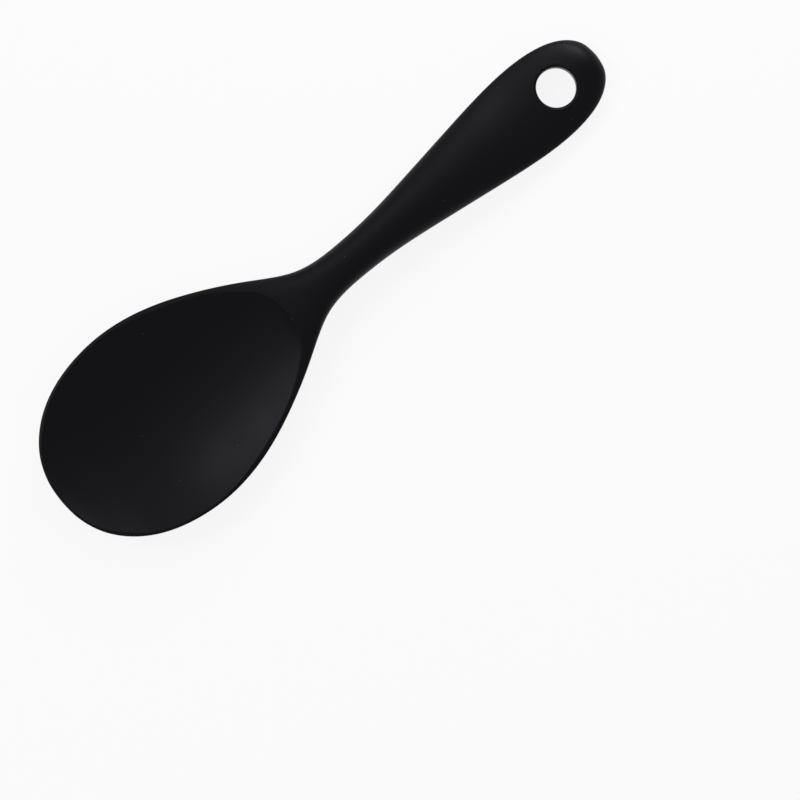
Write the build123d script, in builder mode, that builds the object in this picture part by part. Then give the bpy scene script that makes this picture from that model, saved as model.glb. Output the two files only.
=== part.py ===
from build123d import *
from math import hypot, pi, sin
import os

# Rice paddle: a silicone skin moulded over a nylon core, with a steel bar inside the core.
# +X runs from the handle's end to the blade's tip, +Y across, +Z up with the dish open upwards.
# The origin lies on the table, under the middle of the paddle's length.
# A place is a distance along X from the handle's end. All sizes are in millimetres.

# Outline seen from above: four lengths that follow one another, then the widths where they meet
end_length = 26.0  # from the handle's end to its widest part
taper_length = 76.0  # on to the neck, the narrowest part
shoulder_length = 76.0  # on to the blade's widest part
tip_length = 42.0  # on to the blade's tip
grip_width = 29.3
neck_width = 13.0
blade_width = 65.2
grip_fullness_share = 2.45  # 2 would be an ellipse, more is squarer
tip_fullness_share = 2.2

# Heights seen from the side, with the paddle lying on the table
end_depth = 9.0  # thickness round the hanging hole
end_rounding = 5.5
grip_swell = 2.2  # extra thickness in the middle of the grip
neck_depth = 10.2
neck_lift = 4.0  # underside of the neck above the table
neck_lift_share = 1.5  # 1 would lift the handle in a straight line, more lifts it later
rim_height = 1.2  # top of the rim above its widest line

# Dish
dish_depth = 7.4  # from the dish's edge down to its deepest place
dish_back_gap = 25.4  # from the neck to the dish's start
rim_width = 0.8  # from the dish's edge out to the blade's outline, at its widest place and its tip
dish_edge_rise = 0.6  # dish's edge above the rim's widest line
dish_edge_radius = 0.4
blade_wall = 3.2

# Hanging hole
hole_radius = 6.4
hole_place = 16.45  # from the handle's end to the hole's middle
hole_edge_radius = 0.9

# Nylon core: a beam along the handle that ends in a thin plate under the dish
core_depth = 4.6
core_width_share = 0.66  # of the handle's width
core_end_gap = 5.0  # from the handle's end
core_end_width = 14.0
core_overlap = 11.0  # how far the beam runs into the plate
core_plate_back_gap = 5.6  # from the dish's start
core_plate_front_gap = 20.2  # from the dish's front
core_plate_side_gap = 12.8  # from the dish's side
core_plate_wall = 1.4
blade_skin = 0.9  # silicone between the plate and the dish
hole_sleeve = 1.4  # silicone between the core and the hanging hole

# Steel stiffener
bar_width = 5.0
bar_thickness = 2.0
bar_start_gap = 8.0  # from the handle's widest part
bar_end_reach = 10.0  # past the neck
bar_start_rise = 0.6  # above the middle of the handle's end
bar_end_drop = 0.1  # below the middle of the neck
bar_edge_chamfer = 0.3
support_hole_radius = 1.5
support_hole_pitch = 24.0
support_hole_count = 3

# Shares of the way from the grip to the neck, and of the width still to lose there
grip_taper_shares = ((0.2, 0.85), (0.4, 0.59), (0.6, 0.322), (0.8, 0.088), (1.0, 0.0))

# From neck to blade: way along, width gained, then what is left of the neck's crown and of its
# lift above the table
shoulder_shares = (
    (0.1, 0.012, 0.93, 1.02),
    (0.2, 0.075, 0.78, 1.00),
    (0.3, 0.220, 0.50, 0.97),
    (0.4, 0.396, 0.22, 0.88),
    (0.55, 0.630, 0.05, 0.66),
    (0.75, 0.870, 0.0, 0.27),
)

# Where the round ends are cut into sections, as shares of their length
end_round_shares = (0.0002, 0.03, 0.1, 0.22, 0.4, 0.65, 1.0)
tip_round_shares = (1.0, 0.75, 0.5, 0.3, 0.15, 0.06, 0.015, 0.0002)
tip_belly_share = 2.3  # how quickly the blade's back rises towards the tip

# Reach of a section's curves along its top, its upper side, its lower side and its bottom
grip_curve_shares = (0.47, 0.40, 0.62, 0.58)
neck_curve_shares = (0.58, 0.62, 0.62, 0.58)
blade_curve_shares = (0.92, 0.62, 0.36, 0.52)
tip_curve_shares = (0.92, 0.62, 0.60, 0.70)

# Depth of the dish along its middle, as (share of the way, share of its depth): from its start to
# the blade's widest place, and from there to its front
dish_back_shares = (
    (-0.025, -0.45),
    (0.0, -0.25),
    (0.077, 0.016),
    (0.2, 0.243),
    (0.441, 0.567),
    (0.713, 0.827),
)
dish_front_shares = (
    (0.064, 1.0),
    (0.443, 0.851),
    (0.63, 0.672),
    (0.8, 0.405),
    (1.0, -0.05),
    (1.031, -0.17),
)

grip_place = end_length
neck_place = grip_place + taper_length
blade_place = neck_place + shoulder_length
paddle_length = blade_place + tip_length
dish_start_place = neck_place + dish_back_gap
dish_front_place = paddle_length - rim_width
dish_width = blade_width - 2 * rim_width
dish_level = blade_wall + dish_depth
rim_level = dish_level - dish_edge_rise
neck_level = neck_lift + neck_depth / 2


def between(low, high, share):
    return low + (high - low) * share


def blend(start_shares, end_shares, way):
    return [between(start, end, way) for start, end in zip(start_shares, end_shares)]


def place_at(place):
    return place - paddle_length / 2


def round_share(share, fullness):
    """Height of a round end, as a share of its full height, at a share of its length."""
    return (1 - (1 - min(share, 1)) ** fullness) ** (1 / fullness)


def stations():
    """Rows of place, level of the widest line, half width, crown, belly and curve shares."""
    rows = []
    for share in end_round_shares:
        place = share * grip_place
        half_width = grip_width / 2 * round_share(share, grip_fullness_share)
        half_depth = end_depth / 2 * round_share(place / end_rounding, 2)
        rows.append((place, end_depth / 2, half_width, half_depth, half_depth, grip_curve_shares))
    for way, left in grip_taper_shares:
        half_width = between(neck_width, grip_width, left) / 2
        half_depth = (between(end_depth, neck_depth, way) + grip_swell * sin(pi * way)) / 2
        place = between(grip_place, neck_place, way)
        level = neck_lift * way**neck_lift_share + half_depth
        curves = blend(grip_curve_shares, neck_curve_shares, way)
        rows.append((place, level, half_width, half_depth, half_depth, curves))
    for way, gained, crown_left, lift_left in shoulder_shares:
        level = between(neck_level, rim_level, min(1, 2 * way))
        rows.append((
            between(neck_place, blade_place, way),
            level,
            between(neck_width, blade_width, gained) / 2,
            between(rim_height, neck_depth / 2, crown_left),
            level - neck_lift * lift_left,
            blend(neck_curve_shares, blade_curve_shares, min(1, 2 * way)),
        ))
    for share in tip_round_shares:
        rounding = round_share(share * tip_length / rim_height, 2)
        belly = between(rim_height, rim_level, 1 - (1 - share) ** tip_belly_share)
        rows.append((
            paddle_length - share * tip_length,
            rim_level,
            blade_width / 2 * round_share(share, tip_fullness_share),
            rim_height * rounding,
            belly * rounding,
            blade_curve_shares if rounding == 1 else tip_curve_shares,
        ))
    return rows


def cross_section(place, level, half_width, crown, belly, curves):
    """Half an oval of two smooth quarters across the paddle, its widest point at the level given."""
    top, upper, lower, bottom = curves
    x = place_at(place)
    outline = [
        Edge.make_bezier(
            (x, 0, level - belly),
            (x, bottom * half_width, level - belly),
            (x, half_width, level - lower * belly),
            (x, half_width, level),
        ),
        Edge.make_bezier(
            (x, half_width, level),
            (x, half_width, level + upper * crown),
            (x, top * half_width, level + crown),
            (x, 0, level + crown),
        ),
        Edge.make_line((x, 0, level + crown), (x, 0, level - belly)),
    ]
    return Face(Wire(outline))


def scoop(lowered):
    """Egg turned about a lengthwise axis high above the blade. Its underside cuts the dish."""
    axis_height = dish_level + (dish_width**2 / 4 - dish_depth**2) / (2 * dish_depth)
    halves = (
        (dish_start_place, blade_place, dish_back_shares),
        (blade_place, dish_front_place, dish_front_shares),
    )
    points = [
        (place_at(between(start, end, way)), axis_height - dish_level + dish_depth * deep + lowered)
        for start, end, shares in halves
        for way, deep in shares
    ]
    with BuildPart() as egg:
        with BuildSketch(Plane((0, 0, axis_height), x_dir=(1, 0, 0), z_dir=(0, -1, 0))):
            with BuildLine():
                Spline(*points)
                Polyline(points[0], (points[0][0], 0), (points[-1][0], 0), points[-1])
            make_face()
        revolve(axis=Axis((0, 0, axis_height), (1, 0, 0)))
    return egg.part


def reaches(width):
    """Test for edges that spread at least this far across the paddle."""
    return lambda edge: edge.bounding_box().size.Y >= width


# Steel stiffener: a flat bar with round ends that climbs with the handle from grip to neck
bar_start_level = end_depth / 2 + bar_start_rise
bar_end_level = neck_level - bar_end_drop
bar_start_place = grip_place + bar_start_gap
bar_end_place = neck_place + bar_end_reach
bar_run = bar_end_place - bar_start_place
bar_climb = bar_end_level - bar_start_level
bar_middle = (place_at((bar_start_place + bar_end_place) / 2), 0, (bar_start_level + bar_end_level) / 2)
along_bar = Plane(bar_middle, x_dir=(bar_run, 0, bar_climb), z_dir=(-bar_climb, 0, bar_run))
with BuildPart() as steel_stiffener:
    with BuildSketch(along_bar):
        SlotOverall(hypot(bar_run, bar_climb), bar_width)
    extrude(amount=bar_thickness / 2, both=True)
    chamfer(steel_stiffener.edges(), bar_edge_chamfer)

# Nylon core's beam: flat above and below, it follows the middle of the handle's sides and depth
plate_start_place = dish_start_place + core_plate_back_gap
plate_end_place = dish_front_place - core_plate_front_gap
beam_end_place = plate_start_place + core_overlap
with BuildPart() as core_beam:
    middle = [
        (place_at(place), level + (crown - belly) / 2)
        for place, level, half_width, crown, belly, curves in stations()
        if core_end_gap <= place <= beam_end_place
    ]
    with BuildSketch(Plane.XZ):
        with BuildLine():
            below = Spline(*[(x, z - core_depth / 2) for x, z in middle])
            above = Spline(*[(x, z + core_depth / 2) for x, z in middle])
            Line(below @ 0, above @ 0)
            Line(below @ 1, above @ 1)
        make_face()
    extrude(amount=grip_width, both=True)

    side = [
        (place_at(place), core_width_share * half_width)
        for place, level, half_width, *rest in stations()
        if core_end_gap <= place <= neck_place
    ]
    side.append((place_at(beam_end_place), core_end_width / 2))
    with BuildSketch():
        with BuildLine():
            left = Spline(*side)
            right = Spline(*[(x, -y) for x, y in side])
            Line(left @ 0, right @ 0)
            Line(left @ 1, right @ 1)
        make_face()
    extrude(amount=2 * dish_level, mode=Mode.INTERSECT)

# Nylon core: the plate bends with the dish above it, and the beam runs into its back end
with BuildPart() as nylon_core:
    with BuildSketch():
        with Locations((place_at((plate_start_place + plate_end_place) / 2), 0)):
            Ellipse((plate_end_place - plate_start_place) / 2, dish_width / 2 - core_plate_side_gap)
    extrude(amount=rim_level)
    add(scoop(blade_skin + core_plate_wall), mode=Mode.INTERSECT)
    add(core_beam.part)
    add(scoop(blade_skin), mode=Mode.SUBTRACT)

    # Silicone passes through the core round the hanging hole, which locks the two together
    with Locations((place_at(hole_place), 0, end_depth / 2)):
        Cylinder(hole_radius + hole_sleeve, 2 * end_depth, mode=Mode.SUBTRACT)

    # Pins held the bar through these holes while the core was moulded
    with Locations(along_bar):
        with GridLocations(support_hole_pitch, 0, support_hole_count, 1):
            Cylinder(support_hole_radius, 2 * neck_depth, mode=Mode.SUBTRACT)
    add(steel_stiffener.part, mode=Mode.SUBTRACT)

# Silicone skin: the whole outer form with its hanging hole and its dish, moulded over the core
with BuildPart() as silicone_skin:
    loft([cross_section(*row) for row in stations()])
    mirror(about=Plane.XZ)

    with Locations((place_at(hole_place), 0, end_depth / 2)):
        Cylinder(hole_radius, 2 * end_depth, mode=Mode.SUBTRACT)
    hole_edges = silicone_skin.edges(Select.LAST).filter_by(reaches(hole_radius / 2))
    fillet(hole_edges, hole_edge_radius)

    add(scoop(0), mode=Mode.SUBTRACT)
    dish_edges = silicone_skin.edges(Select.LAST).filter_by(reaches(dish_width / 3))
    fillet(dish_edges, dish_edge_radius)

    add(nylon_core.part, mode=Mode.SUBTRACT)
    add(steel_stiffener.part, mode=Mode.SUBTRACT)

# The same skin with its long faces parted at the neck, so that they are meshed in even steps
neck_cut = Plane(origin=(place_at(neck_place), 0, 0), z_dir=(1, 0, 0))
with BuildPart() as parted_skin:
    add(silicone_skin.part.split(neck_cut, keep=Keep.BOTTOM))
    add(silicone_skin.part.split(neck_cut, keep=Keep.TOP), clean=False)

os.makedirs("parts", exist_ok=True)
parted_skin.part.label = "silicone_skin"
nylon_core.part.label = "nylon_core"
steel_stiffener.part.label = "steel_stiffener"
export_step(parted_skin.part, "parts/silicone_skin.step")
export_step(nylon_core.part, "parts/nylon_core.step")
export_step(steel_stiffener.part, "parts/steel_stiffener.step")
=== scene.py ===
# %% [markdown]
# # A rice paddle in moulded silicone
# The real paddle is one smooth cover of black silicone, cast round a stiff nylon core that holds a
# flat steel bar. Nothing moves, and nothing is joined on the outside. So the work lies in one form
# that flows from a round grip through a thin neck into a wide dish, and in one soft, dark finish.

import bmesh
import bpy
import numpy as np
from mathutils import Matrix, Vector


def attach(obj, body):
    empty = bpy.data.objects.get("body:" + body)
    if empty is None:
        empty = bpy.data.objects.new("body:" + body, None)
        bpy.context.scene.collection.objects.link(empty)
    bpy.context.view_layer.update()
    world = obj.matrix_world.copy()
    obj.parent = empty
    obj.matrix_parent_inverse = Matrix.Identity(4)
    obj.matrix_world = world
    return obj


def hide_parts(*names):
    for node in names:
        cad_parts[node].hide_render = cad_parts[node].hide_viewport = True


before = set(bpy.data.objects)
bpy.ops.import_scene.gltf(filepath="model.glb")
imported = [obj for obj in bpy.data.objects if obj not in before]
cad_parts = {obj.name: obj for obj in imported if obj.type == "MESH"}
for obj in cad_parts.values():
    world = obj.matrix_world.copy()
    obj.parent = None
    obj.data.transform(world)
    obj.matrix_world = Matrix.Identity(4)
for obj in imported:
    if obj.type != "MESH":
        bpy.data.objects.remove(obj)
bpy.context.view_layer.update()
MM = 0.001

# %% [markdown]
# Small helpers come first. A colour is easiest to read as the hex value that a paint program
# shows, but the renderer counts in linear light, so one function turns the one into the other.
# Materials and Geometry Nodes are both graphs of nodes, so one function adds a node to either: it
# sets the node's options and feeds its inputs, each with a plain value or with another's output.
# The last helper starts a material with an empty graph.

# %% A colour, a node and a material
# A Mix node has inputs of the same name for each kind of value, so they go by their place.
COLOUR_A, COLOUR_B, COLOUR_MIXED = 6, 7, 2
VECTOR_A, VECTOR_B, VECTOR_MIXED = 4, 5, 1


def linear(hex_colour):
    """Linear RGBA of an sRGB colour such as "#1b1b1e"."""
    parts = [int(hex_colour[i : i + 2], 16) / 255 for i in (1, 3, 5)]
    return *[p / 12.92 if p <= 0.04045 else ((p + 0.055) / 1.055) ** 2.4 for p in parts], 1.0


def add_node(tree, kind, inputs=None, **options):
    """Adds one node. inputs maps a socket's name or place to a value or to an output socket."""
    node = tree.nodes.new(kind)
    for option, value in options.items():
        setattr(node, option, value)
    for name, value in (inputs or {}).items():
        if isinstance(value, bpy.types.NodeSocket):
            tree.links.new(value, node.inputs[name])
        else:
            node.inputs[name].default_value = value
    return node


def new_material(name):
    """An empty node material and its tree."""
    material = bpy.data.materials.new(name)
    material.use_nodes = True
    material.node_tree.nodes.clear()
    return material, material.node_tree


print("a middle grey, #808080, is", round(linear("#808080")[0], 3), "in linear light")

# %% [markdown]
# ## The finish: moulded black silicone
# Kitchen silicone is a rubber filled with carbon black. It is cast in a steel mould whose walls are
# lightly blasted, so its skin is dull: the eye sees a deep, slightly cool black, a wide faint sheen
# where light grazes it, and a very fine grain. A photo of real silicone would bring its own light
# along, so noise makes the grain here: it only tilts the light. A second, much wider noise lets
# the dullness wander a little, as it does on a tool that hands have held.

# %% The grain and the sheen
silicone_material, tree = new_material("moulded_black_silicone")
on_skin = add_node(tree, "ShaderNodeTexCoord").outputs["Object"]
grain_size, grain_height, handled_size = 0.45, 0.1, 16.0  # mm
grain = add_node(
    tree, "ShaderNodeTexNoise", {"Vector": on_skin, "Scale": 1 / (grain_size * MM), "Detail": 2.0}
)
bump = add_node(
    tree, "ShaderNodeBump",
    {"Strength": 0.12, "Distance": grain_height * MM, "Height": grain.outputs["Fac"]},
)
handled = add_node(
    tree, "ShaderNodeTexNoise",
    {"Vector": on_skin, "Scale": 1 / (handled_size * MM), "Detail": 3.0},
)
dullness = add_node(
    tree, "ShaderNodeMapRange", {"Value": handled.outputs["Fac"], "To Min": 0.41, "To Max": 0.5}
)
print("the grain is", grain_size, "mm wide, and", len(tree.nodes), "nodes make it and the sheen")

# %% [markdown]
# Silicone holds dust. A few pale grains, less than half a millimetre across, show the eye how
# large the paddle is. Tiny meshes could be strewn over the skin, but a pattern does it with
# nothing loose: the grains are the middles of Voronoi cells that happen to lie on the surface,
# and only a part of the cells keeps its grain.

# %% Specks of dust
dust_spacing, dust_radius = 4.0, 0.2  # mm
dust_share, dust_strength = 0.5, 0.6
cells = add_node(
    tree, "ShaderNodeTexVoronoi", {"Vector": on_skin, "Scale": 1 / (dust_spacing * MM)}
)
speck = add_node(
    tree, "ShaderNodeMapRange",
    {
        "Value": cells.outputs["Distance"], "From Min": dust_radius / dust_spacing,
        "From Max": 0.5 * dust_radius / dust_spacing, "To Max": dust_strength,
    },
)
lot = add_node(tree, "ShaderNodeSeparateColor", {"Color": cells.outputs["Color"]}).outputs["Red"]
kept = add_node(tree, "ShaderNodeMath", {0: lot, 1: dust_share}, operation="LESS_THAN")
dust = add_node(
    tree, "ShaderNodeMath", {0: speck.outputs["Result"], 1: kept.outputs[0]}, operation="MULTIPLY"
)
print("a grain of dust is at most", 2 * dust_radius, "mm across")

# %% [markdown]
# One shader gathers it all. Silicone bends light little, with an index of refraction of 1.41, and
# the grain takes a part of even that shine away, so the specular level goes down too. The dust
# only changes the colour.

# %% The finished silicone
colour = add_node(
    tree, "ShaderNodeMix",
    {
        "Factor": dust.outputs[0],
        COLOUR_A: linear("#060608"),  # rubber full of carbon black
        COLOUR_B: linear("#55555a"),  # a grain of pale dust on it
    },
    data_type="RGBA",
)
skin_shader = add_node(
    tree, "ShaderNodeBsdfPrincipled",
    {
        "Base Color": colour.outputs[COLOUR_MIXED], "Roughness": dullness.outputs["Result"],
        "IOR": 1.41, "Specular IOR Level": 0.2, "Specular Tint": linear("#f7f3ff"),
        "Normal": bump.outputs["Normal"],
    },
)
add_node(tree, "ShaderNodeOutputMaterial", {"Surface": skin_shader.outputs["BSDF"]})
print(silicone_material.name, "has", len(tree.nodes), "nodes")

# %% [markdown]
# ## The rule of the form
# A maker draws such a paddle as cross sections: how wide, how high and how full it is at a number
# of places along it. These are the sizes that the sections follow, in millimetres. Places are
# counted from the grip's end, and levels from the table. A crown is a section's height above its
# widest line, and its belly is its depth below.

# %% The paddle's sizes
paddle_length = 220.0
grip_width, grip_place, grip_swell = 29.3, 26.0, 2.2
end_depth, end_rounding = 9.0, 5.5
neck_width, neck_place, neck_depth, neck_lift = 13.0, 102.0, 10.2, 4.0
blade_width, blade_place = 65.2, 178.0
rim_level, rim_height = 10.0, 1.2
neck_level = neck_lift + neck_depth / 2
print("length to blade width:", round(paddle_length / blade_width, 2))

# %% [markdown]
# A section is an oval of four quarters, and each quarter leaves its two ends along a straight
# line before it turns. How far it reaches along that line says how full it is: 0.55 of the way
# gives a true ellipse, less makes a ridge, and more makes a flatter side with a tighter corner.
# A round end needs a rule too: its width grows along a circle, or along a fuller curve.

# %% How full the ovals and the ends are
grip_curves = (0.47, 0.40, 0.62, 0.58)  # reach along the top, up and down the side, underneath
neck_curves = (0.58, 0.62, 0.62, 0.58)
blade_curves = (0.92, 0.62, 0.36, 0.52)
tip_curves = (0.92, 0.62, 0.60, 0.70)
circle, fuller_grip, fuller_tip, fuller_belly = 2, 2.45, 2.2, 2.3


def between(low, high, share):
    """The number a share of the way from low to high."""
    return low + (high - low) * share


def blend(start_curves, end_curves, way):
    """Curves a share of the way from one oval's to another's."""
    return [between(start, end, way) for start, end in zip(start_curves, end_curves)]


def round_share(share, fullness):
    """How wide a round end is, a share of the way from its tip to its full width."""
    return (1 - (1 - min(share, 1)) ** fullness) ** (1 / fullness)


print("a round end has", round(round_share(0.5, circle), 3), "of its full width half way in")

# %% [markdown]
# The grip ends in a half round that is thick in the middle and rounded off all about, so the first
# sections lie close together, where the width grows fast. None lies at the very end, where a
# section would have no width.

# %% The grip's round end
almost_at_end = 0.0002
sections = []  # place, level of the widest line, half width, crown, belly and curves
for share in (almost_at_end, 0.03, 0.1, 0.22, 0.4, 0.65, 1.0):
    place = share * grip_place
    half_width = grip_width / 2 * round_share(share, fuller_grip)
    half_depth = end_depth / 2 * round_share(place / end_rounding, circle)
    sections.append((place, end_depth / 2, half_width, half_depth, half_depth, grip_curves))
print(len(sections), "sections round the grip's end")

# %% [markdown]
# From there the grip narrows to the neck. It swells a little on the way, to fill the palm, and it
# lifts off the table, so that fingers get under it.

# %% The grip and the neck
lift_rise = 1.5  # over 1, so the grip lies flat at first
for way, width_left in ((0.2, 0.85), (0.4, 0.59), (0.6, 0.322), (0.8, 0.088), (1.0, 0.0)):
    swell = grip_swell * np.sin(np.pi * way)
    half_depth = (between(end_depth, neck_depth, way) + swell) / 2
    sections.append((
        between(grip_place, neck_place, way), neck_lift * way**lift_rise + half_depth,
        between(neck_width, grip_width, width_left) / 2, half_depth, half_depth,
        blend(grip_curves, neck_curves, way),
    ))
print("the neck's middle lies", neck_level, "mm above the table")

# %% [markdown]
# The shoulder turns the round neck into the flat blade. Its crown sinks to the low rim while its
# belly comes down to the table, and the outline swings out in an S. Half way along, the widest
# line has the rim's level and the ovals have the blade's fullness.

# %% The shoulder
for way, width_gained, crown_left, lift_left in (
    (0.1, 0.012, 0.93, 1.02),
    (0.2, 0.075, 0.78, 1.00),
    (0.3, 0.220, 0.50, 0.97),
    (0.4, 0.396, 0.22, 0.88),
    (0.55, 0.630, 0.05, 0.66),
    (0.75, 0.870, 0.0, 0.27),
):
    early = min(1, 2 * way)
    level = between(neck_level, rim_level, early)
    crown = between(rim_height, neck_depth / 2, crown_left)
    sections.append((
        between(neck_place, blade_place, way), level,
        between(neck_width, blade_width, width_gained) / 2, crown, level - neck_lift * lift_left,
        blend(neck_curves, blade_curves, early),
    ))
print(len(sections), "sections up to the blade")

# %% [markdown]
# The blade's tip is a broad round edge. Its belly rises from the table to the rim, and in the last
# millimetre the rim itself rounds off.

# %% The blade's tip
for share in (1.0, 0.75, 0.5, 0.3, 0.15, 0.06, 0.015, almost_at_end):
    to_go = share * (paddle_length - blade_place)
    rounding = round_share(to_go / rim_height, circle)
    belly = between(rim_height, rim_level, 1 - (1 - share) ** fuller_belly) * rounding
    half_width = blade_width / 2 * round_share(share, fuller_tip)
    curves = blade_curves if rounding == 1 else tip_curves
    sections.append(
        (paddle_length - to_go, rim_level, half_width, rim_height * rounding, belly, curves)
    )
from_tip = round(paddle_length - sections[-1][0], 4)
print(len(sections), "sections, the last", from_tip, "mm from the tip")

# %% [markdown]
# Between two sections the paddle is smooth too. A natural cubic spline is the stiff drawing batten
# of old boatyards: it goes through every mark and bends as little as it can in between. One such
# spline for each number of a section carries it along the paddle.


# %% The drawing batten
def natural_spline(knots, values, at):
    """Natural cubic spline through the rows of values at the knots, read at the numbers at."""
    gaps = np.diff(knots)
    slopes = np.diff(values, axis=0) / gaps[:, None]
    matrix = np.eye(len(knots))
    bends = np.zeros_like(values)
    for i in range(1, len(knots) - 1):
        matrix[i, i - 1 : i + 2] = gaps[i - 1], 2 * (gaps[i - 1] + gaps[i]), gaps[i]
        bends[i] = 6 * (slopes[i] - slopes[i - 1])
    second = np.linalg.solve(matrix, bends)
    i = np.clip(np.searchsorted(knots, at) - 1, 0, len(gaps) - 1)
    gap, into = gaps[i][:, None], (at - knots[i])[:, None]
    left = gap - into
    return (
        (second[i] * left**3 + second[i + 1] * into**3) / (6 * gap)
        + (values[i] / gap - second[i] * gap / 6) * left
        + (values[i + 1] / gap - second[i + 1] * gap / 6) * into
    )


wave = natural_spline(np.arange(4.0), np.array([[0.0], [1.0], [0.0], [1.0]]), np.array([1.5]))
print("half way from a crest to a trough the batten lies at", round(float(wave[0, 0]), 3))

# %% [markdown]
# Each quarter of an oval is a Bezier curve with four control points: its two ends, and the two
# points that its ends reach towards. So the curves' shares become control points, and a section
# becomes nine numbers. The batten's marks are spaced as the sections' control points are in space,
# because that keeps it calm where sections crowd together.

# %% Nine numbers a section
def control_numbers(place, level, half_width, crown, belly, curves):
    """Place, level, half width, then the upper and the lower quarter's three free numbers."""
    top, upper, lower, bottom = curves
    return [
        place, level, half_width,
        level + upper * crown, top * half_width, level + crown,
        level - lower * belly, bottom * half_width, level - belly,
    ]


controls = np.array([control_numbers(*section) for section in sections])
x, level, half, _, _, _, low_z, low_y, bottom_z = controls.T
lower_quarters = np.stack([
    np.stack([x, y, z], axis=1)
    for y, z in ((0 * x, bottom_z), (low_y, bottom_z), (half, low_z), (half, level))
])
steps = np.linalg.norm(np.diff(lower_quarters, axis=1), axis=2).mean(axis=0)
knots = np.concatenate([[0], np.cumsum(steps)]) / steps.sum()
dense_count = 4000
dense = natural_spline(knots, controls, np.linspace(0, 1, dense_count))
dense[:, 0] = np.maximum.accumulate(dense[:, 0])
print("widest", round(2 * dense[:, 2].max(), 2), "mm and highest", round(dense[:, 5].max(), 2))

# %% [markdown]
# The dish is an egg's underside: one curve, turned about a lengthwise axis high above the blade.
# All that a cut by it needs at a place is the curve's distance from that axis. The curve has a
# back part, up to the blade's widest place, and a front part, and each is given by shares of its
# length and of the dish's depth.

# %% The dish
dish_level, dish_depth, rim_width = 10.6, 7.4, 0.8
dish_start, dish_end = 127.4, paddle_length - rim_width
dish_back_shares = (
    (-0.025, -0.45), (0.0, -0.25), (0.077, 0.016), (0.2, 0.243), (0.441, 0.567), (0.713, 0.827),
)
dish_front_shares = (
    (0.064, 1.0), (0.443, 0.851), (0.63, 0.672), (0.8, 0.405), (1.0, -0.05), (1.031, -0.17),
)
half_dish = blade_width / 2 - rim_width
axis_height = dish_level + (half_dish**2 - dish_depth**2) / (2 * dish_depth)
profile = np.array([
    (between(start, end, way), axis_height - dish_level + dish_depth * deep)
    for start, end, shares in (
        (dish_start, blade_place, dish_back_shares), (blade_place, dish_end, dish_front_shares)
    )
    for way, deep in shares
])
profile_steps = np.linalg.norm(np.diff(profile, axis=0), axis=1)
profile_knots = np.concatenate([[0], np.cumsum(profile_steps)])
curve_count = 800
along_curve = np.linspace(0, profile_knots[-1], curve_count)
dish_curve = natural_spline(profile_knots, profile, along_curve)


def dish_radius(places):
    """Distance of the dish's curve from its axis. Beyond its ends it is well above the paddle."""
    beyond = axis_height - 3 * dish_level
    return np.interp(places, dish_curve[:, 0], dish_curve[:, 1], left=beyond, right=beyond)


print("the dish is deepest at place", round(float(dish_curve[dish_curve[:, 1].argmax(), 0]), 1))

# %% [markdown]
# The mesh is a grid: its rows are cross sections and its columns run lengthwise. One column
# always follows the dish's edge, so that the edge stays crisp. For that each row has to know how
# far up its upper quarter the edge lies, and a fine sampling of the quarter finds it.

# %% Where a section meets the dish
quarter_count = 600
quarter_shares = np.linspace(0, 1, quarter_count)


def bezier(p0, p1, p2, p3, share):
    """A cubic Bezier curve's value a share of the way along."""
    left = 1 - share
    return left**3 * p0 + 3 * left**2 * share * p1 + 3 * left * share**2 * p2 + share**3 * p3


def numbers_at(place):
    """A section's nine numbers at a place, read from the dense table."""
    return np.array([np.interp(place, dense[:, 0], column) for column in dense.T])


def edge_share(place):
    """How far up its upper quarter a section meets the dish, or None where it doesn't."""
    _, level, half, side_z, flat_y, flat_z, *_ = numbers_at(place)
    y = bezier(half, half, flat_y, 0, quarter_shares)
    z = bezier(level, side_z, flat_z, flat_z, quarter_shares)
    cut = axis_height - np.sqrt(dish_radius(place) ** 2 - y**2) < z
    return quarter_shares[cut.argmax()] if cut.any() else None


print("at the widest place the dish's edge is at", round(edge_share(blade_place), 3))

# %% [markdown]
# The rows are crowded where the form turns quickly: at both ends of the paddle and of the dish.
# Elsewhere they are even.

# %% The rows' places
before_dish, back_turn, front_turn, tip_gap = 1.8, 10, 8, 0.0005  # mm
even_count, back_count, front_count, tip_count = 215, 30, 26, 24
close_before = np.array([0.05, 0.12, 0.2, 0.3, 0.42, 0.58, 0.8, 1.1, 1.5])  # mm
even_ways, dense_ways = np.linspace(0, 1, even_count), np.linspace(0, 1, dense_count)
even = np.interp(even_ways, dense_ways, dense[:, 0])
places = np.concatenate([
    even[
        (even < dish_start - before_dish)
        | ((even > dish_start + back_turn) & (even < dish_end - front_turn))
    ],
    dish_start - close_before,
    dish_start + back_turn * np.linspace(0, 1, back_count) ** 2,
    dish_end - front_turn * np.linspace(0, 1, front_count) ** 2,
    np.linspace(dish_end, paddle_length, tip_count)[1:-1],
    [paddle_length - tip_gap],
])
places = np.unique(np.clip(places, dense[0, 0], dense[-1, 0]))
print(len(places), "places, the closest", round(float(np.diff(places).min()), 4), "mm apart")

# %% [markdown]
# A row holds its section's nine numbers, the edge's share and the egg's radius. Beyond the dish
# the edge's column drifts back to an even place. At both ends all of a row is one point, which
# closes the mesh.

# %% The rows
free_share, most_share = 0.4, 0.97
drift = 4  # mm
rows = []
for place in places:
    share = edge_share(place)
    if share is None:
        away = max(dish_start - place, place - dish_end)
        share = free_share + (most_share - free_share) * np.exp(-away / drift)
    rows.append([*numbers_at(place), min(share, most_share), dish_radius(place)])


def pole(row, level):
    """A row shrunk to one point at a level."""
    return [row[0], level, 0, level, 0, level, level, 0, level, *row[9:]]


rows = np.array([pole(rows[0], end_depth / 2), *rows, pole(rows[-1], rim_level)])
print(len(rows), "rows of", rows.shape[1], "numbers")

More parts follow.
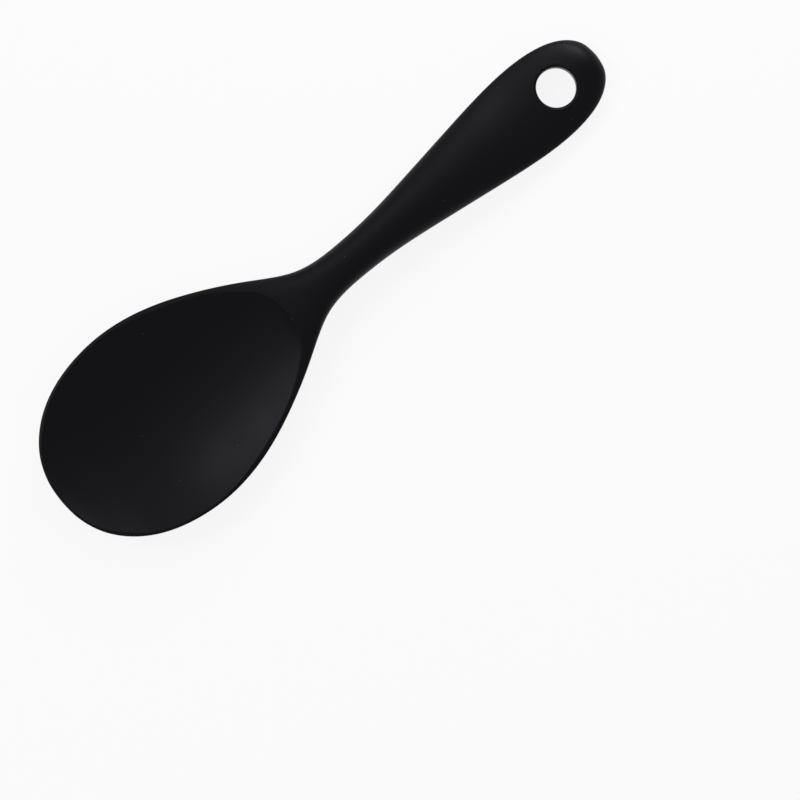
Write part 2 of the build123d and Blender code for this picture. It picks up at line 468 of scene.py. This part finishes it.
# %% [markdown]
# ## The form in Geometry Nodes
# A script could place every point of the skin itself. A tree of nodes does it with sizes that stay
# adjustable while one looks at the form, so the rule is built as one. The rows come in as a mesh
# of loose points, one for each section, that carries the section's numbers as attributes.

# %% The tree and its named inputs
form = bpy.data.node_groups.new("paddle_form", "GeometryNodeTree")
for name, kind in (
    ("Sections", "NodeSocketGeometry"),
    ("Dish Columns", "NodeSocketInt"),
    ("Rim Columns", "NodeSocketInt"),
    ("Back Columns", "NodeSocketInt"),
    ("Egg Axis Height", "NodeSocketFloat"),
    ("Edge Rounding", "NodeSocketFloat"),
    ("Finish", "NodeSocketMaterial"),
):
    form.interface.new_socket(name, in_out="INPUT", socket_type=kind)
form.interface.new_socket("Paddle", in_out="OUTPUT", socket_type="NodeSocketGeometry")
wires = {socket.name: socket for socket in add_node(form, "NodeGroupInput").outputs}
print("the tree is given", ", ".join(name for name in wires if name))

# %% [markdown]
# Every grid point first works out its row and its column from its index. The columns are counted
# from the middle of the dish: how far across, and to which side. A sum takes one Math node for
# each step, so the steps stand in a table: a result's name, its operation, and what goes in, which
# is a number or an earlier result. `wires` keeps each result's socket by its name.

# %% Rows and columns
counted = add_node(form, "GeometryNodeAttributeDomainSize", {"Geometry": wires["Sections"]})
wires["rows"] = counted.outputs["Point Count"]
wires["index"] = add_node(form, "GeometryNodeInputIndex").outputs[0]
for name, operation, *values in (
    ("rim end", "ADD", "Dish Columns", "Rim Columns"),
    ("half columns", "ADD", "rim end", "Back Columns"),
    ("both halves", "MULTIPLY", "half columns", 2.0),
    ("columns", "ADD", "both halves", 1.0),
    ("safe index", "ADD", "index", 0.5),
    ("rows before", "DIVIDE", "safe index", "columns"),
    ("row", "FLOOR", "rows before"),
    ("row start", "MULTIPLY", "row", "columns"),
    ("place in row", "SUBTRACT", "index", "row start"),
    ("column", "SUBTRACT", "place in row", "half columns"),
    ("side", "SIGN", "column"),
    ("across", "ABSOLUTE", "column"),
):
    inputs = {i: wires.get(value, value) for i, value in enumerate(values)}
    node = add_node(form, "ShaderNodeMath", inputs, operation=operation, label=name)
    wires[name] = node.outputs[0]
grid = add_node(
    form, "GeometryNodeMeshGrid", {"Vertices X": wires["rows"], "Vertices Y": wires["columns"]}
)
print("the grid is laid by", len(form.nodes), "nodes")

# %% [markdown]
# Then each point reads its row's numbers. Sample Index fetches an attribute of another mesh, here
# the loose points, at an index. Three numbers travel together as one vector.

# %% The row's own numbers
for name, parts in (
    ("position", ("x", "half", "level")),
    ("upper", ("upper side z", "upper flat y", "upper flat z")),
    ("lower", ("lower side z", "lower flat y", "lower flat z")),
    ("dish", ("edge", "radius", "spare")),
):
    field = add_node(
        form, "GeometryNodeInputNamedAttribute", {"Name": name}, data_type="FLOAT_VECTOR"
    )
    read = add_node(
        form, "GeometryNodeSampleIndex",
        {
            "Geometry": wires["Sections"], "Value": field.outputs["Attribute"],
            "Index": wires["row"],
        },
        data_type="FLOAT_VECTOR",
    )
    numbers = add_node(form, "ShaderNodeSeparateXYZ", {"Vector": read.outputs[0]}, label=name)
    wires.update(zip(parts, numbers.outputs))
print("the tree has", len(form.nodes), "nodes so far")

# %% [markdown]
# Along the half section the grid has three zones: the dish from its middle to its edge, the narrow
# rim from there to the widest line, and the back from there to the middle underneath. In each one
# a share says how far along its quarter a column lies, and the columns crowd towards the edge.

# %% Where a column lies on its quarter
for name, operation, *values in (
    ("in dish", "DIVIDE", "across", "Dish Columns"),
    ("past dish", "SUBTRACT", "across", "Dish Columns"),
    ("in rim", "DIVIDE", "past dish", "Rim Columns"),
    ("past rim", "SUBTRACT", "across", "rim end"),
    ("in back", "DIVIDE", "past rim", "Back Columns"),
    ("on rim", "GREATER_THAN", "across", "Dish Columns"),
    ("on back", "GREATER_THAN", "across", "rim end"),
    ("dish left", "SUBTRACT", 1.0, "in dish"),
    ("crowded dish", "POWER", "dish left", 2.0),
    ("above edge", "SUBTRACT", 1.0, "edge"),
    ("dish way", "MULTIPLY", "above edge", "crowded dish"),
    ("dish share", "ADD", "edge", "dish way"),
    ("crowded rim", "POWER", "in rim", 1.5),
    ("rim left", "SUBTRACT", 1.0, "crowded rim"),
    ("rim share", "MULTIPLY", "edge", "rim left"),
):
    inputs = {i: wires.get(value, value) for i, value in enumerate(values)}
    node = add_node(form, "ShaderNodeMath", inputs, operation=operation, label=name)
    wires[name] = node.outputs[0]
print("the tree has", len(form.nodes), "nodes so far")

# %% [markdown]
# A Switch picks the zone's share, and the upper or the lower quarter's control points. Where a
# condition is false it hands on the first value, and where it is true the second.

# %% Which zone, and which quarter
for name, condition, if_false, if_true in (
    ("front share", "on rim", "dish share", "rim share"),
    ("share", "on back", "front share", "in back"),
    ("side z", "on back", "upper side z", "lower side z"),
    ("flat y", "on back", "upper flat y", "lower flat y"),
    ("flat z", "on back", "upper flat z", "lower flat z"),
):
    inputs = {"Switch": wires[condition], "False": wires[if_false], "True": wires[if_true]}
    node = add_node(form, "GeometryNodeSwitch", inputs, input_type="FLOAT", label=name)
    wires[name] = node.outputs[0]
print("the tree has", len(form.nodes), "nodes so far")

# %% [markdown]
# A Bezier curve can be drawn by mixing alone: neighbouring control points are mixed pair by pair,
# by the same share, until one point is left, and it lies on the curve. That needs no powers,
# only Mix nodes.

# %% The point on its quarter
quarter = [
    add_node(
        form, "ShaderNodeCombineXYZ",
        {"X": wires["x"], "Y": wires.get(across_name, 0.0), "Z": wires[height_name]},
    ).outputs[0]
    for across_name, height_name in (
        ("half", "level"), ("half", "side z"), ("flat y", "flat z"), ("middle", "flat z")
    )
]
while len(quarter) > 1:
    quarter = [
        add_node(
            form, "ShaderNodeMix",
            {"Factor": wires["share"], VECTOR_A: start, VECTOR_B: end}, data_type="VECTOR",
        ).outputs[VECTOR_MIXED]
        for start, end in zip(quarter, quarter[1:])
    ]
on_oval = add_node(form, "ShaderNodeSeparateXYZ", {"Vector": quarter[0]}, label="on the oval")
_, wires["y"], wires["z"] = on_oval.outputs
print("three rounds of mixing leave", len(quarter), "point")

# %% [markdown]
# The egg's surface has a height over every point, and the skin takes the lower of the two. A
# smooth minimum rounds the edge between them in the same step. The back is left as it is.

# %% The egg's cut
for name, operation, *values in (
    ("radius squared", "MULTIPLY", "radius", "radius"),
    ("y squared", "MULTIPLY", "y", "y"),
    ("drop squared", "SUBTRACT", "radius squared", "y squared"),
    ("drop", "SQRT", "drop squared"),
    ("egg z", "SUBTRACT", "Egg Axis Height", "drop"),
    ("cut z", "SMOOTH_MIN", "z", "egg z", "Edge Rounding"),
    ("signed y", "MULTIPLY", "y", "side"),
):
    inputs = {i: wires.get(value, value) for i, value in enumerate(values)}
    node = add_node(form, "ShaderNodeMath", inputs, operation=operation, label=name)
    wires[name] = node.outputs[0]
height = add_node(
    form, "GeometryNodeSwitch",
    {"Switch": wires["on back"], "False": wires["cut z"], "True": wires["z"]}, input_type="FLOAT",
)
place = add_node(
    form, "ShaderNodeCombineXYZ",
    {"X": wires["x"], "Y": wires["signed y"], "Z": height.outputs[0]}, label="place",
)
print("the tree has", len(form.nodes), "nodes so far")

# %% [markdown]
# Last, the grid goes to its place. Each point keeps its row and column as attributes, because the
# hanging hole is opened by them. Merging closes the seam underneath and the two poles.

# %% The finished grid
GEOMETRY = 0  # the first input and output of each of these nodes
merge_distance = 0.001  # mm
mesh = grid.outputs["Mesh"]
for kind, inputs in (
    ("GeometryNodeStoreNamedAttribute", {"Name": "row", "Value": wires["row"]}),
    ("GeometryNodeStoreNamedAttribute", {"Name": "across", "Value": wires["across"]}),
    ("GeometryNodeSetPosition", {"Position": place.outputs[0]}),
    ("GeometryNodeMergeByDistance", {"Distance": merge_distance * MM}),
    ("GeometryNodeSetShadeSmooth", {}),
    ("GeometryNodeRealizeInstances", {}),
    ("GeometryNodeSetMaterial", {"Material": wires["Finish"]}),
):
    mesh = add_node(form, kind, {GEOMETRY: mesh, **inputs}).outputs[GEOMETRY]
add_node(form, "NodeGroupOutput", {"Paddle": mesh})
print("the whole tree has", len(form.nodes), "nodes")

# %% [markdown]
# The rows become the mesh of loose points that the tree is given. The paddle's middle comes to the
# origin, as in the frame.

# %% The sections as loose points
to_middle = np.array([paddle_length / 2, 0, 0]) * MM
points = bpy.data.meshes.new("paddle_sections")
points.from_pydata(rows[:, [0, 2, 1]] * MM - to_middle, [], [])
edge_column, radius_column = rows[:, 9], rows[:, 10] * MM
for name, numbers in (
    ("upper", rows[:, 3:6] * MM),
    ("lower", rows[:, 6:9] * MM),
    ("dish", np.stack([edge_column, radius_column, 0 * radius_column], axis=1)),
):
    attribute = points.attributes.new(name, "FLOAT_VECTOR", "POINT")
    attribute.data.foreach_set("vector", numbers.ravel())
paddle = bpy.data.objects.new("moulded_skin", points)
bpy.context.scene.collection.objects.link(paddle)
print(len(points.vertices), "points carry", ", ".join(a.name for a in points.attributes))

# %% [markdown]
# The tree works as the points' modifier. A modifier's inputs are set by their sockets'
# identifiers. The evaluated result is copied into a plain mesh, which needs neither the tree nor
# the points any more.

# %% From points to a plain mesh
dish_columns, rim_columns, back_columns = 30, 10, 30
edge_rounding = 0.25  # mm
modifier = paddle.modifiers.new("form", "NODES")
modifier.node_group = form
settings = {
    "Dish Columns": dish_columns, "Rim Columns": rim_columns, "Back Columns": back_columns,
    "Egg Axis Height": axis_height * MM, "Edge Rounding": edge_rounding * MM,
    "Finish": silicone_material,
}
for item in form.interface.items_tree:
    if item.name in settings:
        modifier[item.identifier] = settings[item.name]
evaluated = paddle.evaluated_get(bpy.context.evaluated_depsgraph_get())
skin_mesh = bpy.data.meshes.new_from_object(evaluated)
paddle.modifiers.clear()
paddle.data = skin_mesh
print("the form has", len(skin_mesh.polygons), "faces and", len(skin_mesh.vertices), "points")
for axis, letter in enumerate("xyz"):
    values = [v.co[axis] / MM for v in skin_mesh.vertices]
    print(letter, round(min(values), 3), "to", round(max(values), 3))

# %% [markdown]
# ## The hanging hole
# Around the hole the grid is opened above and below. Rings of faces lead from each opening to a
# circle on the same surface, over a rounded lip and down the wall, where the two sides meet. A
# Boolean would make the hole too, but it would leave long thin faces, and its lip would not follow
# the grip's crown. First comes the height of the skin over any point of the grip.

# %% The grip's surface
hole_place, hole_radius, lip_rounding = 16.45, 6.4, 0.9
ABOVE, BELOW = 1, -1


def surface_height(place, y, side):
    """Height of the grip's skin at a point, above or below its widest line."""
    _, level, half, *quarters = numbers_at(place)
    side_z, flat_y, flat_z = quarters[:3] if side == ABOVE else quarters[3:]
    line_y = bezier(half, half, flat_y, 0, quarter_shares)
    line_z = bezier(level, side_z, flat_z, flat_z, quarter_shares)
    return np.interp(abs(y), line_y[::-1], line_z[::-1])


at_hole = [surface_height(hole_place, 0, side) for side in (ABOVE, BELOW)]
print("the grip is", round(float(at_hole[0] - at_hole[1]), 2), "mm thick at the hole's middle")

# %% [markdown]
# Each ring has one point for every point of the opening's edge, so the faces between two rings are
# plain quads. Five rings close in from the square opening to the round lip, and six go over the
# lip, one for each fifteen degrees of its turn, until its side points straight down.


# %% Rings of points towards the hole
closing_shares = (0.2, 0.4, 0.6, 0.8, 1.0)
lip_turns = np.radians((15, 30, 45, 60, 75, 90))


def hole_rings(bm, start, side):
    """Rings of points that lead from an opening's edge to the hole's wall."""
    rings = [start]
    centre = np.array([hole_place - paddle_length / 2, 0])
    arms = [np.array(vert.co.xy) / MM - centre for vert in start]
    reaches = [np.linalg.norm(arm) for arm in arms]
    ways = [arm / reach for arm, reach in zip(arms, reaches)]
    lip_radius = hole_radius + lip_rounding
    for part in closing_shares:
        spots = [
            centre + way * between(reach, lip_radius, part) for way, reach in zip(ways, reaches)
        ]
        heights = [surface_height(x + paddle_length / 2, y, side) for x, y in spots]
        rings.append([
            bm.verts.new((x * MM, y * MM, z * MM)) for (x, y), z in zip(spots, heights)
        ])
    for turn in lip_turns:
        spots = [centre + way * (lip_radius - lip_rounding * np.sin(turn)) for way in ways]
        drop = side * lip_rounding * (1 - np.cos(turn))
        rings.append([
            bm.verts.new((x * MM, y * MM, (z - drop) * MM)) for (x, y), z in zip(spots, heights)
        ])
    return rings


print("the lip's outer circle is", round(2 * (hole_radius + lip_rounding), 1), "mm across")

# %% [markdown]
# The grid's points are found by their row and column. A block of them around the hole loses its
# faces, on the upper and on the lower side, and its border is where the rings start.

# %% The block around the hole
opened_columns, opened_margin = 14, 2.6  # the second in mm
on_axis = 1e-6  # metres
half_columns = dish_columns + rim_columns + back_columns
bm = bmesh.new()
bm.from_mesh(skin_mesh)
row_of, across_of = (bm.verts.layers.float[name] for name in ("row", "across"))
opened_rows = np.flatnonzero(abs(rows[:, 0] - hole_place) < hole_radius + opened_margin)
first, last = int(opened_rows[0]), int(opened_rows[-1])
grid_points = {}
for vert in bm.verts:
    row, across = round(vert[row_of]), round(vert[across_of])
    sign = 0 if abs(vert.co.y) < on_axis else (1 if vert.co.y > 0 else -1)
    if first <= row <= last and across <= opened_columns:
        grid_points[row, sign * across, ABOVE] = vert
    if first <= row <= last and across >= half_columns - opened_columns:
        grid_points[row, sign * (half_columns - across), BELOW] = vert
print("rows", first, "to", last, "and", opened_columns, "columns to each side are opened")

# %% [markdown]
# The border runs once round the block. The same walk serves both sides, so the two walls' points
# pair up, and three more rings between them make the hole's wall.

# %% Opening the grid
border = [(first, i) for i in range(-opened_columns, opened_columns)]
border += [(row, opened_columns) for row in range(first, last)]
border += [(last, i) for i in range(opened_columns, -opened_columns, -1)]
border += [(row, -opened_columns) for row in range(last, first, -1)]
sides = []
for side in (ABOVE, BELOW):
    block = {vert for (_, _, where), vert in grid_points.items() if where == side}
    faces = [face for face in bm.faces if all(vert in block for vert in face.verts)]
    bmesh.ops.delete(bm, geom=faces, context="FACES")
    sides.append(hole_rings(bm, [grid_points[row, i, side] for row, i in border], side))
upper_rings, lower_rings = sides
wall_shares = (0.25, 0.5, 0.75)
wall = [
    [bm.verts.new(a.co.lerp(b.co, part)) for a, b in zip(upper_rings[-1], lower_rings[-1])]
    for part in wall_shares
]
print(len(border), "points round the border, and", len(wall), "rings down the wall")

# %% [markdown]
# Quads join each ring to the next. A closed mesh has two faces at every edge, and its volume is
# positive when all faces point outwards, so both are measured. Faces that a script adds take
# the first material slot, and the tree may have left that one empty, so the mesh gets one clean
# slot with the silicone.

# %% Lining the hole
rings = upper_rings + wall + lower_rings[::-1]
for ring, next_ring in zip(rings, rings[1:]):
    for i in range(len(ring)):
        j = (i + 1) % len(ring)
        bm.faces.new((ring[i], ring[j], next_ring[j], next_ring[i])).smooth = True
bmesh.ops.recalc_face_normals(bm, faces=bm.faces)
open_edges = sum(not edge.is_manifold for edge in bm.edges)
print("open edges", open_edges, "volume", round(bm.calc_volume(signed=True) / MM**3), "cubic mm")
bm.to_mesh(skin_mesh)
bm.free()
skin_mesh.materials.clear()
skin_mesh.materials.append(silicone_material)

# %% [markdown]
# The finished skin rides on the paddle's one body and stands in for the plain solid. It wears the
# silicone that was made above.

# %% The skin takes its place
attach(paddle, "root")
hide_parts("silicone_skin")
print("the skin has", len(skin_mesh.polygons), "faces")

# %% [markdown]
# ## The hidden pieces
# The core is nylon filled with short glass fibres, dyed dark so that it can't show through the
# silicone. It is moulded too, and the fibres that come to the surface make it slightly uneven: the
# eye sees a dark grey with faint mottling and a low gloss. Its plain solid has the right shape, so
# only its finish is made.

# %% The core's nylon
nylon_material, tree = new_material("glass_filled_nylon")
on_core = add_node(tree, "ShaderNodeTexCoord").outputs["Object"]
mottle_size, fibre_height = 2.9, 0.1  # mm
mottle = add_node(
    tree, "ShaderNodeTexNoise",
    {"Vector": on_core, "Scale": 1 / (mottle_size * MM), "Detail": 4.0},
)
tint = add_node(
    tree, "ShaderNodeMix",
    {
        "Factor": mottle.outputs["Fac"],
        COLOUR_A: linear("#202123"), COLOUR_B: linear("#34363a"),
    },
    data_type="RGBA",
)
fibres = add_node(
    tree, "ShaderNodeBump",
    {"Strength": 0.3, "Distance": fibre_height * MM, "Height": mottle.outputs["Fac"]},
)
nylon_shader = add_node(
    tree, "ShaderNodeBsdfPrincipled",
    {
        "Base Color": tint.outputs[COLOUR_MIXED], "Roughness": 0.55, "IOR": 1.53,
        "Normal": fibres.outputs["Normal"],
    },
)
add_node(tree, "ShaderNodeOutputMaterial", {"Surface": nylon_shader.outputs["BSDF"]})
print(nylon_material.name, "has", len(tree.nodes), "nodes")

# %% [markdown]
# The stiffener is cut from cold rolled steel strip. Rolling leaves fine streaks along the bar, so
# the noise that roughens it is stretched lengthwise, and the eye sees a grey metal whose shine is
# drawn out across them.

# %% The bar's steel
steel_material, tree = new_material("cold_rolled_steel")
on_bar = add_node(tree, "ShaderNodeTexCoord").outputs["Object"]
streak_length, streak_width = 25.0, 0.25  # mm
along, over = 1 / (streak_length * MM), 1 / (streak_width * MM)
stretched = add_node(tree, "ShaderNodeMapping", {"Vector": on_bar, "Scale": (along, over, over)})
streaks = add_node(
    tree, "ShaderNodeTexNoise", {"Vector": stretched.outputs["Vector"], "Scale": 1.0, "Detail": 3.0}
)
steel_dullness = add_node(
    tree, "ShaderNodeMapRange", {"Value": streaks.outputs["Fac"], "To Min": 0.3, "To Max": 0.45}
)
steel_shader = add_node(
    tree, "ShaderNodeBsdfPrincipled",
    {
        "Base Color": linear("#c8c9cc"), "Metallic": 1.0,
        "Roughness": steel_dullness.outputs["Result"],
    },
)
add_node(tree, "ShaderNodeOutputMaterial", {"Surface": steel_shader.outputs["BSDF"]})
print(steel_material.name, "has", len(tree.nodes), "nodes")

# %% [markdown]
# Both hidden pieces come from the frame as they are. Each keeps its mesh, loses the plain
# material it came with, and gets its own.

# %% The hidden pieces get their finishes
for name, material, slot in (
    ("nylon_core", nylon_material, "core_nylon"),
    ("steel_stiffener", steel_material, "stiffener_steel"),
):
    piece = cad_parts[name]
    piece.data.materials.clear()
    piece.data.materials.append(material)
    print(name, "wears", material.name)

# %% [markdown]
# ## The studio
# The paddle lies on white. The floor shows white to the camera, and to gloss and glass, but it
# sends the plain light of a pale card to the paddle. A small share of its own shading stays
# visible, so that the paddle's soft shadow is kept.

# %% The white floor
floor_size, white_share = 6, 0.88  # the first in metres
bpy.ops.mesh.primitive_plane_add(size=floor_size)
floor = bpy.context.object
floor.name = "floor"
floor_material, tree = new_material("white_card")
rays = add_node(tree, "ShaderNodeLightPath").outputs
seen = rays["Is Camera Ray"]
for kind in ("Is Glossy Ray", "Is Transmission Ray"):
    either = add_node(tree, "ShaderNodeMath", {0: seen, 1: rays[kind]}, operation="MAXIMUM")
    seen = either.outputs[0]
white_part = add_node(tree, "ShaderNodeMath", {0: seen, 1: white_share}, operation="MULTIPLY")
card = add_node(tree, "ShaderNodeBsdfDiffuse", {"Color": linear("#e6e6e6")})
white = add_node(tree, "ShaderNodeEmission", {"Color": linear("#ffffff"), "Strength": 1.0})
floor_look = add_node(
    tree, "ShaderNodeMixShader",
    {0: white_part.outputs[0], 1: card.outputs[0], 2: white.outputs[0]},
)
add_node(tree, "ShaderNodeOutputMaterial", {"Surface": floor_look.outputs[0]})
floor.data.materials.append(floor_material)
print("the floor is", [round(v, 2) for v in floor.dimensions], "m")

# %% [markdown]
# Even light from all around keeps the shadows pale. It comes from the world, as from the white
# walls of a studio.

# %% The world's even light
world = bpy.data.worlds.new("studio")
bpy.context.scene.world = world
world.use_nodes = True
world.node_tree.nodes.clear()
air = add_node(
    world.node_tree, "ShaderNodeBackground", {"Color": linear("#ffffff"), "Strength": 0.5}
)
add_node(world.node_tree, "ShaderNodeOutputWorld", {"Surface": air.outputs[0]})
print("the world's light has a strength of", air.inputs["Strength"].default_value)

# %% [markdown]
# A dull black form shows only by its sheen, so the lamps are placed by the sheen that they leave.
# A softbox to the left lights the dish's far side and one flank of the neck. A smaller lamp, low
# over the grip, lights the edge of the grip's end. Both are placed as the picture shows them: to
# its right, up, and towards the camera.

# %% The two lamps
PICTURE_RIGHT = Vector((-0.7660, 0.6428, 0))
PICTURE_UP = Vector((-0.6428, -0.7660, 0))
for name, target, right, up, height, size, power in (
    ("softbox", Vector((0, 0, 0)), -0.95, 0.34, 1.07, 0.5, 5.9),
    ("grip_lamp", Vector((-0.105, 0, 0)), 0.02, 0.42, 0.26, 0.25, 1.5),
):
    lamp_data = bpy.data.lights.new(name, "AREA")
    lamp_data.size, lamp_data.energy = size, power
    lamp = bpy.data.objects.new(name, lamp_data)
    bpy.context.scene.collection.objects.link(lamp)
    lamp.location = target + PICTURE_RIGHT * right + PICTURE_UP * up + Vector((0, 0, height))
    lamp.rotation_euler = (target - lamp.location).to_track_quat("-Z", "Y").to_euler()
    print(name, "at", [round(v, 2) for v in lamp.location])

# %% [markdown]
# The camera looks straight down from 1.6 m, with the handle to the upper right. A straight view
# down keeps the outline true, and the long distance keeps the near blade from looking swollen.

# %% The camera
picture_middle = Vector((0.0077, 0.0439, 0.010))
picture_width, camera_distance = 0.2522, 1.6  # metres
nearest, farthest = 0.05, 20  # metres
camera_data = bpy.data.cameras.new("camera")
camera_data.lens = camera_data.sensor_width * camera_distance / picture_width
camera_data.clip_start, camera_data.clip_end = nearest, farthest
camera = bpy.data.objects.new("camera", camera_data)
bpy.context.scene.collection.objects.link(camera)
facing = Matrix((PICTURE_RIGHT, PICTURE_UP, Vector((0, 0, 1)))).transposed().to_4x4()
camera.matrix_world = Matrix.Translation(picture_middle + Vector((0, 0, camera_distance))) @ facing
bpy.context.scene.camera = camera
bpy.context.scene.view_settings.view_transform = "Standard"
print("the lens is", round(camera_data.lens), "mm long")
